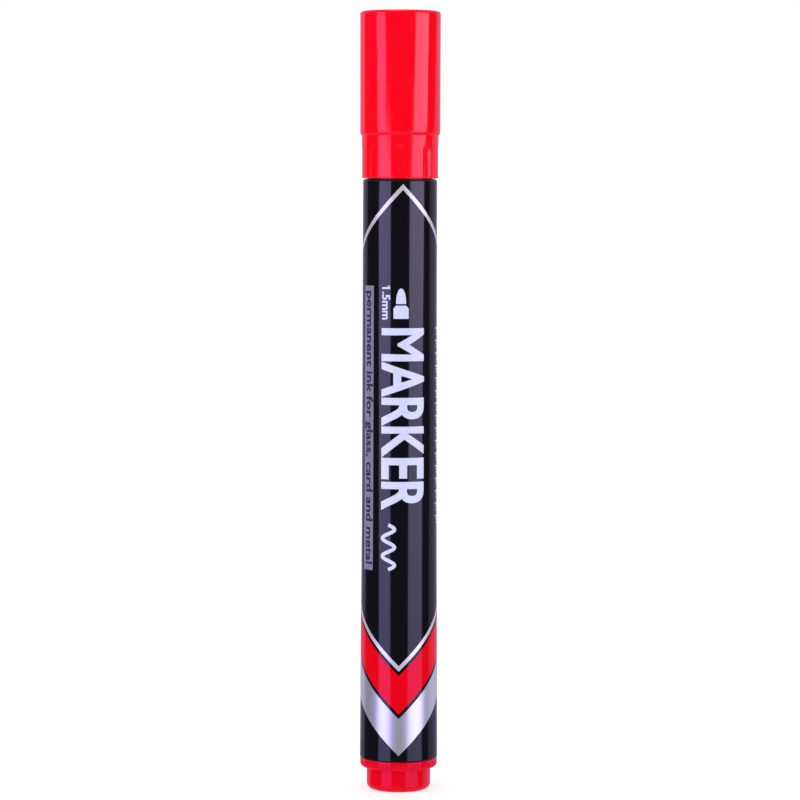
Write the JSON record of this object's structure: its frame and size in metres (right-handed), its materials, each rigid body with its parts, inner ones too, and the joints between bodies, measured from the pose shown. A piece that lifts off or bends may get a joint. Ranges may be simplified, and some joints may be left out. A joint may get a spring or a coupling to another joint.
{
  "type": "permanent marker",
  "caption": "Slim round bullet-tip marker pen with a tapered barrel, ribbed end plug and a fluted pull-off cap with an inner sealing cup.",
  "frame": {"origin": "centre of the end plug's flat end face, on the marker's axis", "axes": "+Z runs along the barrel from the end plug to the cap; -Y points to the front of the printed barrel"},
  "size_m": [0.014, 0.014, 0.136],
  "materials": {
    "barrel_black": "gloss black moulded polypropylene",
    "cap_red": "gloss red moulded polypropylene",
    "holder_black": "satin black moulded polypropylene",
    "liner_white": "natural white polyethylene",
    "nib_fibre": "pressed fibre soaked in red ink",
    "core_fibre": "bonded polyester fibre soaked in red ink",
    "clear_film": "thin wrapped film",
    "print_red": "gloss red printed ink",
    "print_silver": "hot-stamped silver foil",
    "print_lilac": "pale lilac printed ink",
    "print_grey": "grey-lilac printed ink"
  },
  "bodies": {
    "barrel": {"barrel": "barrel_black", "end_plug": "cap_red", "nib_holder": "holder_black", "nib": "nib_fibre", "reservoir_core": "core_fibre", "reservoir_film": "clear_film"},
    "cap": {"cap_shell": "cap_red", "cap_liner": "liner_white"}
  },
  "joints": [
    {"name": "cap_pull", "type": "slide", "parent": "barrel", "child": "cap", "axis": [0, 0, 1], "range_m": [0, 0.04]}
  ]
}
